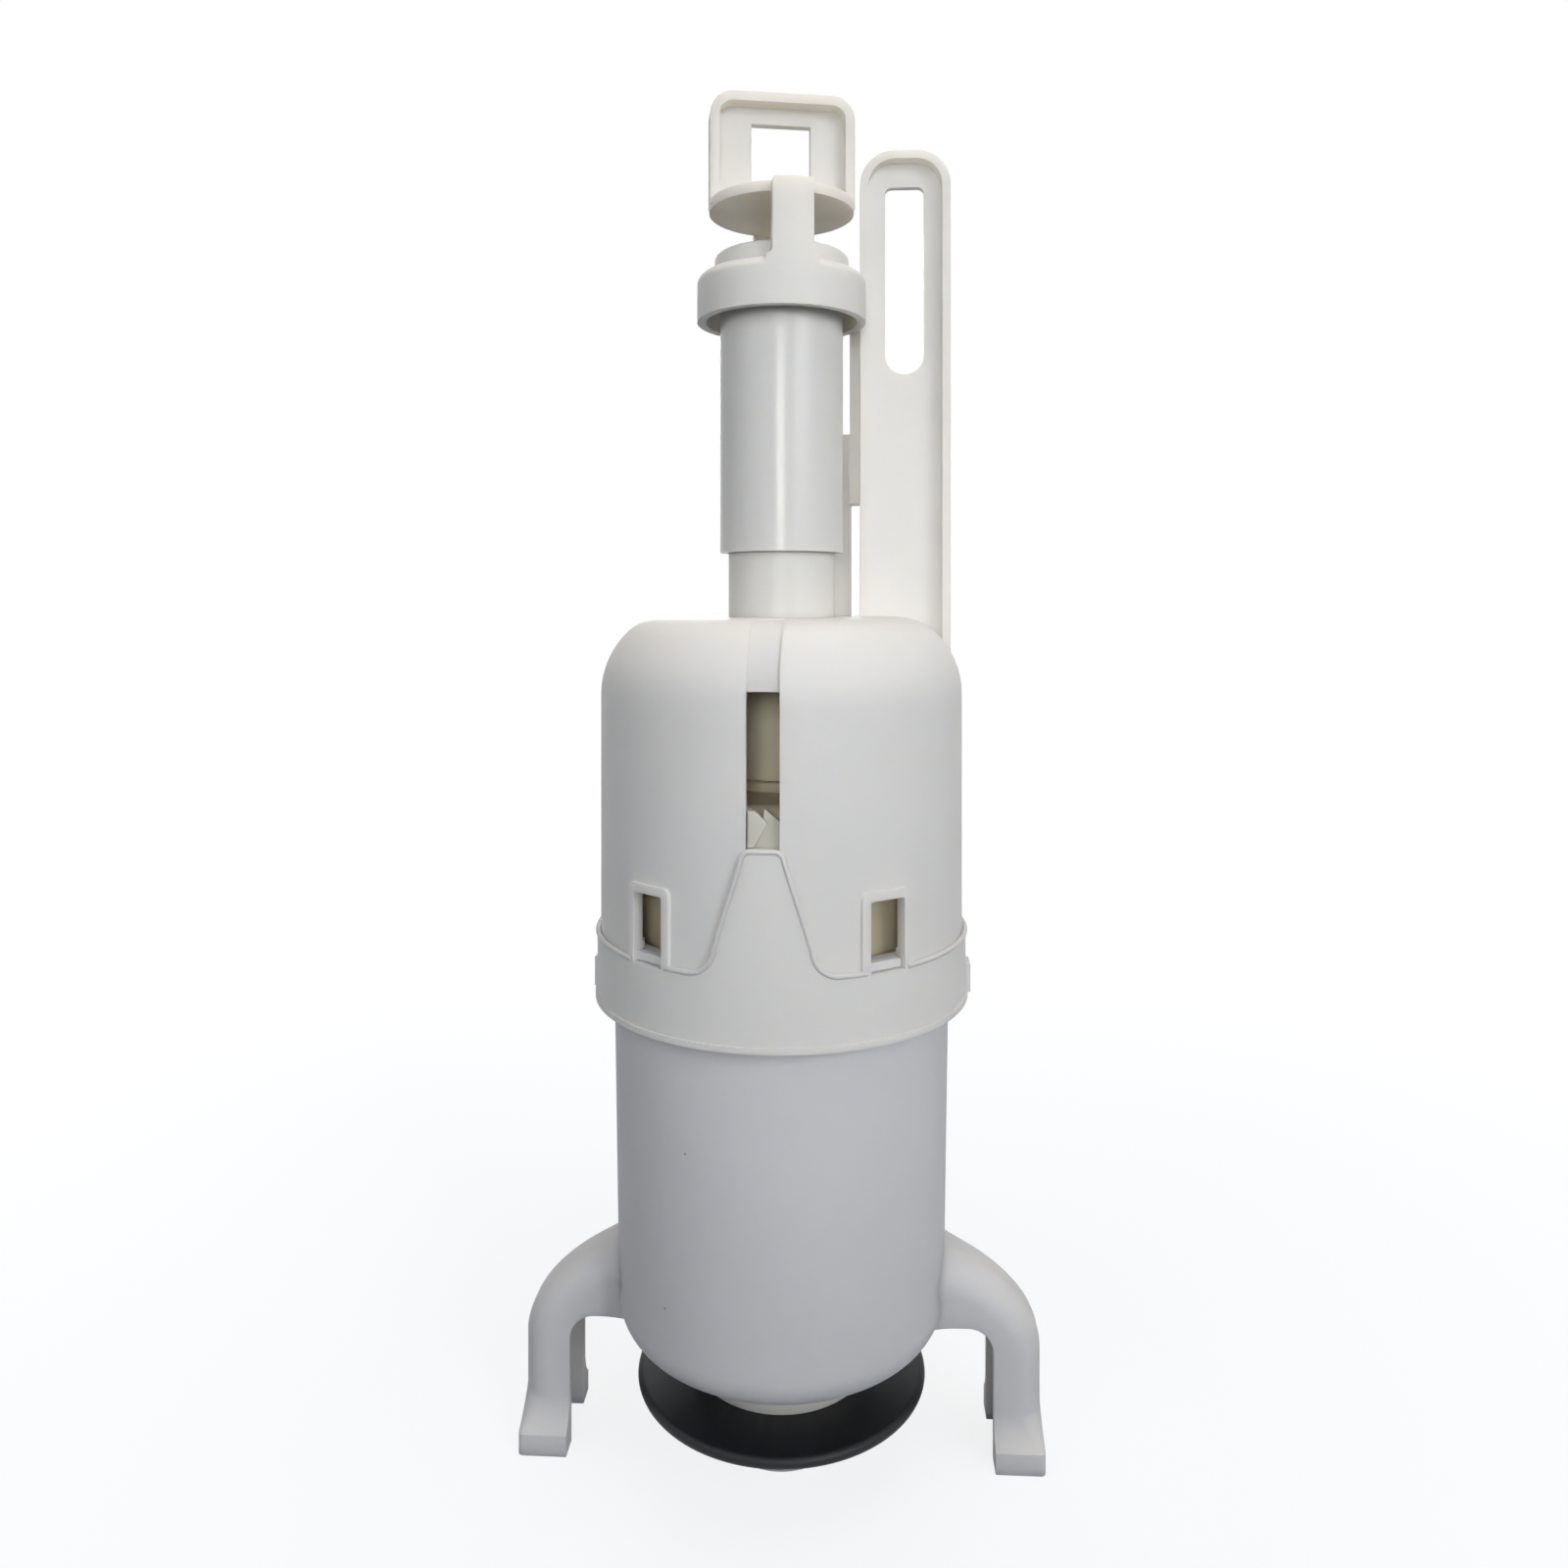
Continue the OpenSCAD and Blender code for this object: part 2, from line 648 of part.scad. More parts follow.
module upper_cap() {
    color(white)
        difference() {
            union() {
                difference() {
                    union() {
                        cap_form(0);
                        tube(band_r, cap_in_r, cap_low_z, band_top_z);
                        tube(band_r + band_proud / 2, cap_in_r, cap_low_z, cap_low_z + lip_h);
                        // Raised front panel and window frames
                        intersection() {
                            tube(band_r, cap_in_r, cap_low_z, slot_low_z);
                            at_front()
                                upright(-band_r - over, 0)
                                    panel_face();
                        }
                        intersection() {
                            tube(band_r, cap_in_r, cap_low_z, cap_top_z);
                            at_windows()
                                upright(-band_r - over, 0)
                                    window_face(window_frame);
                        }
                        lever_bracket();
                    }
                    cap_form(cap_wall);
                }
                // Guide round the riser
                tube(riser_hole_r + guide_wall, riser_hole_r, cap_top_z - guide_h, cap_top_z - cap_wall / 2);
                // Rib that stops the cup rim
                tube(cap_in_r + weld, stop_rib_r, cup_rim_z, cup_rim_z + stop_rib_h);
                // Rails that hold the shutter against the wall
                at_front()
                    both_sides() {
                        sector(cap_in_r + weld, rail_in_r, rail_from, rail_from + rail_angle,
                            cup_rim_z + stop_rib_h, shoulder_z);
                        sector(rail_r, rail_in_r, rail_from - rail_angle, rail_from + rail_angle,
                            cup_rim_z + stop_rib_h, shoulder_z);
                    }
            }
            translate([0, 0, cap_top_z - guide_h - over])
                cylinder(r = riser_hole_r, h = guide_h + 2 * over);
            // Windows, wider where they pass the rib
            at_windows() {
                upright(-band_r - over, -stop_rib_r + over)
                    window_face(0);
                upright(-cap_in_r + 2 * weld, -stop_rib_r + over)
                    window_face(window_frame);
            }
            // Front slot, and the shallow groove that carries it on over the shoulder
            at_front() {
                translate([-slot_w / 2, -band_r - over, slot_low_z])
                    cube([slot_w, band_r + over - cap_in_r + shoulder_w, slot_h]);
                difference() {
                    translate([-slot_w / 2, -band_r - over, slot_low_z])
                        cube([slot_w, band_r + over - cap_r + shoulder_w, cap_top_z - slot_low_z + over]);
                    translate([0, 0, groove_fade * groove_deep])
                        cap_form(groove_deep);
                }
            }
            // Notches for the cup's keys
            for (side = [-1, 1])
                translate([side * cap_r, 0, cap_low_z])
                    cube([4 * cap_wall, key_w + 2 * push_gap, 2 * key_h + 2 * push_gap], center = true);
        }
}

module volume_shutter() {
    color(white)
        at_front()
            difference() {
                sector(shutter_r, shutter_in_r, -shutter_angle, shutter_angle, shutter_low_z, shutter_top_z);
                // Row of saw teeth along the top, with flat tips
                for (i = [0:teeth - 1])
                    upright(-cap_r, 0)
                        translate([(i - teeth / 2) * tooth_w, shutter_top_z])
                            polygon([[tooth_tip - over * (tooth_w - tooth_tip) / tooth_h, over],
                                [tooth_w, -tooth_h], [tooth_w, over]]);
            }
}

// Finger tab on the shutter: it stands in the slot's left half and slants on its right
module volume_slider() {
    left = run_gap - slot_w / 2;
    color(white)
        at_front()
            intersection() {
                tube(cap_r - run_gap, shutter_r, knob_low_z, shutter_top_z);
                upright(-cap_r, 0)
                    polygon([[left, knob_low_z - over], [left + knob_foot_w, knob_low_z - over],
                        [left + knob_foot_w, knob_low_z], [left + knob_w, knob_low_z + knob_slope_h],
                        [left + tooth_tip, shutter_top_z + over], [left, shutter_top_z + over]]);
            }
}

module riser_tube() {
    color(white)
        difference() {
            union() {
                tube(riser_r, riser_bore_r, riser_low_z, riser_top_z);
                tube(hub_r, riser_bore_r, seal_top_z, hub_top_z);
                tube(flange_r, riser_bore_r, seal_top_z, seal_top_z + flange_t);
                tube(riser_r + shoulder_ring_out, riser_bore_r, float_low_z - shoulder_ring_h, float_low_z);
            }
            // Groove for the float clip
            tube(riser_r + over, groove_r, float_top_z, float_top_z + clip_h);
            // Groove for the O-ring
            tube(riser_r + over, groove_r, ring_z - ring_groove_h / 2, ring_z + ring_groove_h / 2);
        }
}

module seal_washer() {
    edge = seal_t / 2;
    mid = seal_low_z + edge;
    color(black)
        rotate_extrude()
            polygon(concat(
                [[riser_r + push_gap, seal_top_z], [riser_r + push_gap, seal_low_z]],
                arc(seal_r - edge, mid, edge, -90, 90)));
}

module clamp_washer() {
    color(white)
        tube(clamp_r, riser_r + push_gap, clamp_low_z, seal_low_z);
}

module seal_nut() {
    color(white)
        difference() {
            union() {
                tube(nut_r, riser_r + push_gap, riser_low_z, clamp_low_z);
                tube(nut_r, riser_bore_r, nut_low_z, riser_low_z);
                tube(nut_flange_r, riser_r + push_gap, clamp_low_z - nut_flange_h, clamp_low_z);
            }
            // Scallops to grip the flange by
            for (i = [0:grips - 1])
                rotate([0, 0, i * 360 / grips])
                    translate([nut_flange_r + grip_r / 2, 0, clamp_low_z - nut_flange_h - over])
                        cylinder(r = grip_r, h = nut_flange_h + 2 * over, $fn = 48);
        }
}

module float_bell() {
    color(white)
        union() {
            rotate_extrude()
                polygon(concat(
                    [[riser_r + push_gap, float_low_z], [float_hub_r, float_low_z]],
                    [[float_hub_r, float_top_z - float_wall]],
                    arc(float_r - float_round, float_top_z - float_round, float_round - float_wall, 90, 0),
                    [[float_in_r, float_low_z], [float_r, float_low_z]],
                    arc(float_r - float_round, float_top_z - float_round, float_round, 0, 90),
                    [[riser_r + push_gap, float_top_z]]));
            // Ribs between hub and wall
            for (i = [0:float_ribs - 1])
                rotate([0, 0, (i + 1 / 2) * 360 / float_ribs])
                    translate([float_hub_r - weld, -float_wall / 2, float_low_z + 2 * float_lid_t])
                        cube([float_in_r - float_hub_r + 2 * weld, float_wall,
                            float_top_z - float_round - float_low_z - 2 * float_lid_t]);
        }
}

module float_lid() {
    color(white)
        tube(float_in_r - push_gap, float_hub_r + push_gap, float_low_z, float_low_z + float_lid_t);
}

module float_clip() {
    color(white)
        difference() {
            tube(riser_r + clip_out, groove_r + push_gap, float_top_z, float_top_z + clip_h - push_gap);
            // Mouth that the clip is pushed on by
            translate([-clip_mouth_w / 2, 0, float_top_z - over])
                cube([clip_mouth_w, 2 * riser_r, clip_h + 2 * over]);
        }
}

module sleeve_ring() {
    color(black)
        rotate_extrude()
            translate([groove_r + ring_t / 2, ring_z])
                circle(d = ring_t - push_gap, $fn = 32);
}

module extension_sleeve() {
    color(white)
        difference() {
            union() {
                tube(sleeve_r, sleeve_bore_r, sleeve_low_z, sleeve_top_z);
                rotate_extrude()
                    polygon(concat(
                        [[sleeve_bore_r, bead_low_z]],
                        [[bead_r, bead_low_z]],
                        arc(bead_r - bead_round, sleeve_top_z - bead_round, bead_round, 0, 90),
                        [[sleeve_bore_r, sleeve_top_z]]));
            }
            // Groove for the head clip
            tube(sleeve_r + over, head_clip_bore_r, head_clip_top_z - head_clip_h, head_clip_top_z);
        }
}

module head_clip() {
    color(steel)
        difference() {
            tube(head_clip_r, head_clip_bore_r + push_gap,
                head_clip_top_z - head_clip_h + push_gap, head_clip_top_z);
            // Mouth that the clip is pushed on by
            translate([-head_mouth_w / 2, 0, head_clip_top_z - head_clip_h - over])
                cube([head_mouth_w, 2 * sleeve_r, head_clip_h + 2 * over]);
        }
}

// Outline of an arm in the XZ plane, with fillets at the collar and rounded top corners
module arm_face() {
    half = arm_w / 2;
    polygon(concat(
        [[-half - arm_fillet, collar_plate_z], [half + arm_fillet, collar_plate_z]],
        arc(half + arm_fillet, collar_top_z + arm_fillet, arm_fillet, 270, 180, 6),
        arc(half - arm_corner, disc_top_z - arm_corner, arm_corner, 0, 90, 6),
        arc(arm_corner - half, disc_top_z - arm_corner, arm_corner, 90, 180, 6),
        arc(-half - arm_fillet, collar_top_z + arm_fillet, arm_fillet, 360, 270, 6)));
}

// Outline of the lifting loop in the XZ plane, moved in by inset
module loop_face(inset) {
    half = loop_w / 2 - inset;
    corner = loop_corner - inset;
    top = disc_top_z + loop_h - inset;
    polygon(concat(
        [[-half, disc_low_z + disc_t / 2], [half, disc_low_z + disc_t / 2]],
        arc(half - corner, top - corner, corner, 0, 90),
        arc(corner - half, top - corner, corner, 90, 180)));
}

module pull_head() {
    color(white)
        rotate([0, 0, head_turn]) {
            // Collar: a cup turned over the top of the sleeve
            rotate_extrude()
                polygon(concat(
                    [[sleeve_r + run_gap, collar_top_z], [sleeve_r + run_gap, collar_plate_z]],
                    [[collar_r - collar_wall, collar_plate_z], [collar_r - collar_wall, collar_low_z]],
                    [[collar_r, collar_low_z]],
                    arc(collar_r - collar_round, collar_top_z - collar_round, collar_round, 0, 90)));
            // Arms in front and behind
            intersection() {
                tube(collar_r, arm_in_r, collar_plate_z, disc_top_z);
                upright(-collar_r - over, collar_r + over)
                    arm_face();
            }
            translate([0, 0, disc_low_z])
                cylinder(r = disc_r, h = disc_t);
            // Loop: a web with a rim round its outside and an eye through it
            difference() {
                upright(-loop_deep / 2, loop_deep / 2)
                    loop_face(0);
                upright(-loop_deep, loop_deep / 2 - loop_web)
                    difference() {
                        loop_face(loop_rim);
                        translate([-loop_w, 0])
                            square([2 * loop_w, disc_top_z]);
                    }
                translate([-eye_w / 2, -loop_deep, disc_top_z])
                    cube([eye_w, 2 * loop_deep, eye_h]);
            }
        }
}

lower_cup();
upper_cap();
volume_slider();
volume_shutter();
riser_tube();
seal_washer();
clamp_washer();
seal_nut();
float_bell();
float_lid();
float_clip();
sleeve_ring();
extension_sleeve();
head_clip();
pull_head();
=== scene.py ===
"""A toilet flush valve of moulded white plastic on a plain pale floor, seen from the front."""
import math

import bpy
import numpy as np
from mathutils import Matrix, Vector


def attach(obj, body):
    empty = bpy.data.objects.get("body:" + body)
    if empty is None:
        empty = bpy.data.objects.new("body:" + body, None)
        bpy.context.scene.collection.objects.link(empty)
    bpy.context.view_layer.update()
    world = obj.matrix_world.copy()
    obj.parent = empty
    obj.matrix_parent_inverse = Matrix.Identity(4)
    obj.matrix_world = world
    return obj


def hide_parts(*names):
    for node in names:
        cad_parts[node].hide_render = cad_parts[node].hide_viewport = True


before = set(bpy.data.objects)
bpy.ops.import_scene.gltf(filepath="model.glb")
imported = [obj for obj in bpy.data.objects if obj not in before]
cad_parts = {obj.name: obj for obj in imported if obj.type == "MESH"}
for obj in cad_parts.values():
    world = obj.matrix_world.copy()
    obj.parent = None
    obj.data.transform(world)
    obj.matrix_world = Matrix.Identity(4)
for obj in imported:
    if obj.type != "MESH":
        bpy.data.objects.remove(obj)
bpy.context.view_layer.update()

MM = 0.001


def linear(hex_colour):
    """An sRGB hex colour as linear RGBA."""
    s = np.array([int(hex_colour[i:i + 2], 16) for i in (1, 3, 5)]) / 255
    rgb = np.where(s <= 0.04045, s / 12.92, ((s + 0.055) / 1.055) ** 2.4)
    return (*(float(c) for c in rgb), 1.0)


def add(tree, kind, settings=None, **inputs):
    """Adds a node of that kind. settings are its properties, and inputs its sockets, by name or, after an
    underscore, by number: a value, or a socket to link."""
    node = tree.nodes.new(kind)
    for name, value in (settings or {}).items():
        setattr(node, name, value)
    for name, value in inputs.items():
        key = int(name[1:]) if name[0] == "_" else name.replace("_", " ")
        if isinstance(value, bpy.types.NodeSocket):
            tree.links.new(value, node.inputs[key])
        else:
            node.inputs[key].default_value = value
    return node


def new_material(name):
    """An empty material with its output node, as (material, tree, output)."""
    material = bpy.data.materials.new(name)
    material.use_nodes = True
    tree = material.node_tree
    tree.nodes.clear()
    return material, tree, add(tree, "ShaderNodeOutputMaterial")


# Patterns of the plastic: widths and depths in millimetres
CLOUD_W = 30
SMEAR_W = 9
SKIN_W = 0.7
SKIN_DEPTH = 0.02
SPECK_GAP = 14
SPECK_CORE_R, SPECK_EDGE_R = 0.168, 0.308
TINT_FADE = 12
LIGHT_DEPTH = 16
# Stretch of the smears' noise that is used, and how far they lower or raise fully grained plastic's roughness
SMEAR_FROM, SMEAR_TO = 0.3, 0.7
SMEAR_GLOSS, SMEAR_DULL = 0.1, 0.12
SPECK_COLOUR = "#6e675c"
MIX_COLOURS = {"data_type": "RGBA"}


def moulded_plastic(name, colour, shade, roughness, grain=0.5, coat=0.0, specks=0.0, painted_light=None):
    """Injection-moulded ABS, acetal or polypropylene, or extruded PVC. The eye sees a soft satin white that
    light soaks into, so that thin walls glow warm inside, with clouds of slightly greyer tone where the melt
    flowed, smears that are a little duller or glossier, a fine orange-peel skin from the mould and now and
    then a dark speck. Clouds are about 30 mm wide, smears 9 mm and specks 0.5 mm, some 14 mm apart. The
    skin's grain, really 0.1 mm, is drawn at 0.7 mm so that it shows. The last argument, as (low, high,
    colour) in mm, paints a warm tint between those heights as painted light, standing in for the warm light
    inside the housing, and fades it over 12 mm at each end."""
    material, tree, output = new_material(name)
    place = add(tree, "ShaderNodeTexCoord").outputs["Object"]
    clouds = add(tree, "ShaderNodeTexNoise", Vector=place, Scale=1 / (CLOUD_W * MM),
                 Detail=3.0, Roughness=0.55)
    skin = add(tree, "ShaderNodeTexNoise", Vector=place, Scale=1 / (SKIN_W * MM),
               Detail=2.0, Roughness=0.5)
    smear = add(tree, "ShaderNodeTexNoise", Vector=place, Scale=1 / (SMEAR_W * MM),
                Detail=4.0, Roughness=0.6)
    tone = add(tree, "ShaderNodeMix", MIX_COLOURS, _0=clouds.outputs["Fac"], _6=linear(colour),
               _7=linear(shade)).outputs[2]
    if specks:
        dots = add(tree, "ShaderNodeTexVoronoi", Vector=place, Scale=1 / (SPECK_GAP * MM))
        inside = add(tree, "ShaderNodeMapRange", Value=dots.outputs["Distance"],
                     From_Min=SPECK_CORE_R / SPECK_GAP, From_Max=SPECK_EDGE_R / SPECK_GAP,
                     To_Min=specks, To_Max=0.0)
        tone = add(tree, "ShaderNodeMix", MIX_COLOURS, _0=inside.outputs["Result"], _6=tone,
                   _7=linear(SPECK_COLOUR)).outputs[2]
    # Painted light: a warm cream tint between two heights, standing in for the warm light inside the housing
    if painted_light:
        low, high, tint_colour = painted_light
        height = add(tree, "ShaderNodeSeparateXYZ", _0=place).outputs["Z"]
        below = add(tree, "ShaderNodeMapRange", Value=height, From_Min=(high - TINT_FADE) * MM,
                    From_Max=high * MM, To_Min=1.0, To_Max=0.0)
        above = add(tree, "ShaderNodeMapRange", Value=height, From_Min=low * MM,
                    From_Max=(low + TINT_FADE) * MM)
        light_tint = add(tree, "ShaderNodeMath", {"operation": "MULTIPLY"}, _0=below.outputs["Result"],
                    _1=above.outputs["Result"])
        tone = add(tree, "ShaderNodeMix", MIX_COLOURS, _0=light_tint.outputs[0], _6=tone,
                   _7=linear(tint_colour)).outputs[2]
    gloss = add(tree, "ShaderNodeMapRange", Value=smear.outputs["Fac"], From_Min=SMEAR_FROM,
                From_Max=SMEAR_TO, To_Min=roughness - SMEAR_GLOSS * grain,
                To_Max=roughness + SMEAR_DULL * grain)
    bump = add(tree, "ShaderNodeBump", Strength=grain, Distance=SKIN_DEPTH * MM, Height=skin.outputs["Fac"])
    surface = add(tree, "ShaderNodeBsdfPrincipled", Base_Color=tone, Roughness=gloss.outputs["Result"],
                  IOR=1.49, Specular_IOR_Level=0.18, Subsurface_Weight=0.45,
                  Subsurface_Radius=(1.0, 0.86, 0.6), Subsurface_Scale=LIGHT_DEPTH * MM,
                  Coat_Weight=coat, Coat_Roughness=0.08, Normal=bump.outputs["Normal"])
    tree.links.new(surface.outputs["BSDF"], output.inputs["Surface"])
    return material


# Patterns of the rubber and of the steel: widths and depths in millimetres
BLOOM_W = 12
PORE_W = 0.8
PORE_DEPTH = 0.04
STEEL_PATCH_W = 1.5


def seal_rubber():
    """Moulded nitrile rubber. The eye sees a blue-black, half-matt skin of fine pores, with a bloom of grey
    dust in patches some 12 mm wide. The pores, really 0.1 mm, are drawn at 0.8 mm so that they show."""
    material, tree, output = new_material("moulded_nitrile_rubber")
    place = add(tree, "ShaderNodeTexCoord").outputs["Object"]
    bloom = add(tree, "ShaderNodeTexNoise", Vector=place, Scale=1 / (BLOOM_W * MM),
                Detail=5.0, Roughness=0.65)
    pores = add(tree, "ShaderNodeTexNoise", Vector=place, Scale=1 / (PORE_W * MM), Detail=3.0)
    tone = add(tree, "ShaderNodeMix", MIX_COLOURS, _0=bloom.outputs["Fac"], _6=linear("#0e0f13"),
               _7=linear("#1b1d23"))
    bump = add(tree, "ShaderNodeBump", Strength=0.5, Distance=PORE_DEPTH * MM, Height=pores.outputs["Fac"])
    surface = add(tree, "ShaderNodeBsdfPrincipled", Base_Color=tone.outputs[2], Roughness=0.5, IOR=1.52,
                  Specular_IOR_Level=0.3, Normal=bump.outputs["Normal"])
    tree.links.new(surface.outputs["BSDF"], output.inputs["Surface"])
    return material


def spring_steel():
    """Drawn spring steel, bent to a ring. The eye sees grey metal, duller in patches 1 or 2 mm wide."""
    material, tree, output = new_material("drawn_spring_steel")
    place = add(tree, "ShaderNodeTexCoord").outputs["Object"]
    patches = add(tree, "ShaderNodeTexNoise", Vector=place, Scale=1 / (STEEL_PATCH_W * MM), Detail=4.0)
    gloss = add(tree, "ShaderNodeMapRange", Value=patches.outputs["Fac"], To_Min=0.25, To_Max=0.4)
    surface = add(tree, "ShaderNodeBsdfPrincipled", Base_Color=linear("#b4b6b8"), Metallic=1.0,
                  Roughness=gloss.outputs["Result"])
    tree.links.new(surface.outputs["BSDF"], output.inputs["Surface"])
    return material


# Finish of the edges: the gap that is welded in metres, and angles between faces
WELD_GAP = 0.002 * MM
FLAT_ANGLE = math.radians(0.3)
SHARP_ANGLE = math.radians(30)
HARD_ANGLE = math.radians(50)


def round_edges(piece, width, segments):
    """Rounds a piece's sharp edges over that width in millimetres, as a mould does."""
    edges = piece.modifiers.new("broken edges", "BEVEL")
    edges.limit_method = "ANGLE"
    edges.angle_limit = SHARP_ANGLE
    edges.width = width * MM
    edges.segments = segments


def even_shading(piece):
    """Lets a piece's large faces lead the shading across its rounded edges."""
    shade = piece.modifiers.new("shading", "WEIGHTED_NORMAL")
    shade.keep_sharp = False


def dress(node, material, rounding):
    """Gives a CAD node its material and rounds its sharp edges over so many millimetres. Points that the
    rounding brings together are merged, and an edge that is still sharp after it is shaded as a hard one."""
    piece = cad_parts[node]
    piece.data.materials.clear()
    piece.data.materials.append(material)
    weld = piece.modifiers.new("weld", "WELD")
    weld.merge_threshold = WELD_GAP
    if rounding:
        flat = piece.modifiers.new("flat faces", "DECIMATE")
        flat.decimate_type = "DISSOLVE"
        flat.angle_limit = FLAT_ANGLE
        round_edges(piece, rounding, segments=2)
        closed = piece.modifiers.new("closed up", "WELD")
        closed.merge_threshold = WELD_GAP
        hard = piece.modifiers.new("hard edges", "EDGE_SPLIT")
        hard.split_angle = HARD_ANGLE
        hard.use_edge_sharp = False
    even_shading(piece)


# Stretch of the riser, in millimetres, that gets a painted warm tint standing in for the warm light inside
# the housing, and the tint
INNER_LIGHT_LOW, INNER_LIGHT_HIGH = 60, 178
INNER_LIGHT_COLOUR = "#f2e6c6"
cup_white = moulded_plastic("moulded_polypropylene_cup", "#e3e2e3", "#dad9db", roughness=0.56, specks=0.8)
cap_white = moulded_plastic("moulded_abs_cap", "#e3e1de", "#dbd9d6", roughness=0.46, specks=0.6)
head_white = moulded_plastic("moulded_abs_head", "#dddbd7", "#d6d4d0", roughness=0.44)
sleeve_white = moulded_plastic("extruded_pvc_sleeve", "#dddbd6", "#d6d4d0", roughness=0.3, grain=0.15,
                               coat=0.12)
tube_white = moulded_plastic("extruded_pvc_tube", "#dfdcd5", "#d7d5cf", roughness=0.34, grain=0.2,
                             painted_light=(INNER_LIGHT_LOW, INNER_LIGHT_HIGH, INNER_LIGHT_COLOUR))
# The adjusters' greyer white is painted shade: darker than the white plastic, standing in for the shadow they
# sit in inside the cap
shaded_slider_white = moulded_plastic("moulded_acetal_slider", "#cfccc0", "#c6c3b5", roughness=0.35)
# The float's beige is painted warm shade: darker and warmer than the white plastic, standing in for the shade
# inside the housing
shaded_float_white = moulded_plastic("moulded_polypropylene_float", "#d8cbb0", "#cdbfa4", roughness=0.5)
rubber = seal_rubber()
steel = spring_steel()

# Rounding of the CAD pieces' edges, in millimetres
CAP_EDGE = 0.45
HEAD_EDGE = 0.35
FINE_EDGE = 0.2
CLIP_EDGE = 0.15
dress("upper_cap", cap_white, CAP_EDGE)
dress("pull_head", head_white, HEAD_EDGE)
dress("extension_sleeve", sleeve_white, FINE_EDGE)
dress("riser_tube", tube_white, FINE_EDGE)
dress("head_clip", steel, CLIP_EDGE)
for ring in ("seal_washer", "sleeve_ring"):
    dress(ring, rubber, rounding=0)
for adjuster in ("volume_slider", "volume_shutter"):
    dress(adjuster, shaded_slider_white, FINE_EDGE)
for clamp in ("clamp_washer", "seal_nut"):
    dress(clamp, cup_white, FINE_EDGE)
for float_piece in ("float_bell", "float_lid", "float_clip"):
    dress(float_piece, shaded_float_white, FINE_EDGE)


# Lower cup: sizes in millimetres
CUP_RIM_R = 37.7
CUP_BASE_R = 36.5
CUP_WALL = 1.8
CUP_CORNER = 7.5
CUP_FLOOR_Z = 27
CUP_RIM_Z = 117
CUP_HOLE_R = 12.3
RIM_ROUND = 0.5
CUP_EDGE = 0.4
CORNER_Z = CUP_FLOOR_Z + CUP_CORNER
CORNER_R = CUP_BASE_R - CUP_CORNER
# A leg's section, and the fillet that it meets the cup with
LEG_HALF_W = 8.0
LEG_WALL = 2.0
LEG_ROUND = 6.2
ROOT_FILLET = 9.0
FILLET_X = math.sqrt((CUP_BASE_R + ROOT_FILLET) ** 2 - (LEG_HALF_W + ROOT_FILLET) ** 2)
FILLET_REACH = FILLET_X * ROOT_FILLET / (CUP_BASE_R + ROOT_FILLET)
# A leg's outer edge, as (x, z): root on the cup, knee where it is upright, and the curve's handle at each
LEG_ROOT = np.array([FILLET_X - FILLET_REACH, 45.7])
LEG_ROOT_WAY = np.array([10.3, -3.4])
LEG_KNEE = np.array([57.6, 23.0])
LEG_KNEE_WAY = np.array([0.0, 10.5])
# A leg's inner edge and underside, where the root's fillet fades to a share of its size
LEG_IN = 46.8
LEG_UNDER_Z = 29.2
LEG_FILLET = 5.5
UNDER_FADE = 9.0
UNDER_SHARE = 0.35
# A foot: height of its toes, where their slope starts, how far they stand out and how round they are
FOOT_H = 4.6
FOOT_TOP_Z = 11.0
FOOT_OUT = 3.3
FOOT_ROUND = 1.2
# Snap tabs in the cap's windows, at angles from the front, and keys in its notches: corners of each block
TAB_ANGLES = (34, -38, 214, 142)
TAB_LOW, TAB_HIGH = np.array([-3.8, -40.2, 115.3]), np.array([3.8, -37.0, 117.0])
KEY_LOW, KEY_HIGH = np.array([36.7, -2.5, 101.0]), np.array([42.3, 2.5, 107.5])
# Steps round the cup, its corner and its rim, along a leg and its underside, round its edges and down its toe
CUP_SIDES = 192
CORNER_STEPS = 18
RIM_STEPS = 4
LEG_STEPS = 40
UNDER_STEPS = LEG_STEPS // 2
ROUND_STEPS = 8
TOE_STEPS = 7


def arc(x, z, radius, start, stop, steps):
    """Points on a circle about (x, z), evenly from the angle start to stop in degrees."""
    t = np.radians(np.linspace(start, stop, steps + 1))
    return np.stack([x + radius * np.cos(t), z + radius * np.sin(t)], axis=1)


def ring_quads(rows, columns, close_rows):
    """Quads of a grid whose columns run round in a ring. close_rows joins the last row to the first."""
    i = np.arange(rows if close_rows else rows - 1)[:, None]
    j = np.arange(columns)[None, :]
    here, there = i * columns, (i + 1) % rows * columns
    beside = (j + 1) % columns
    return np.stack([here + j, here + beside, there + beside, there + j], axis=-1).reshape(-1, 4)


def outward(points, quads):
    """The shell with its quads turned round if the volume that they enclose comes out negative."""
    a, b, c, d = (points[quads[:, k]] for k in range(4))
    volume = np.sum(a * (np.cross(b, c) + np.cross(c, d)))
    return points, quads if volume > 0 else quads[:, ::-1]


def lofted(rings):
    """A tube through rings of points, closed at both ends by strips across the first and the last ring."""
    rows, columns = rings.shape[:2]
    j = np.arange(columns // 2 - 1)
    first = np.stack([columns - 1 - j, columns - 2 - j, j + 1, j], axis=1)
    last = first[:, ::-1] + (rows - 1) * columns
    return outward(rings.reshape(-1, 3), np.concatenate([ring_quads(rows, columns, False), first, last]))


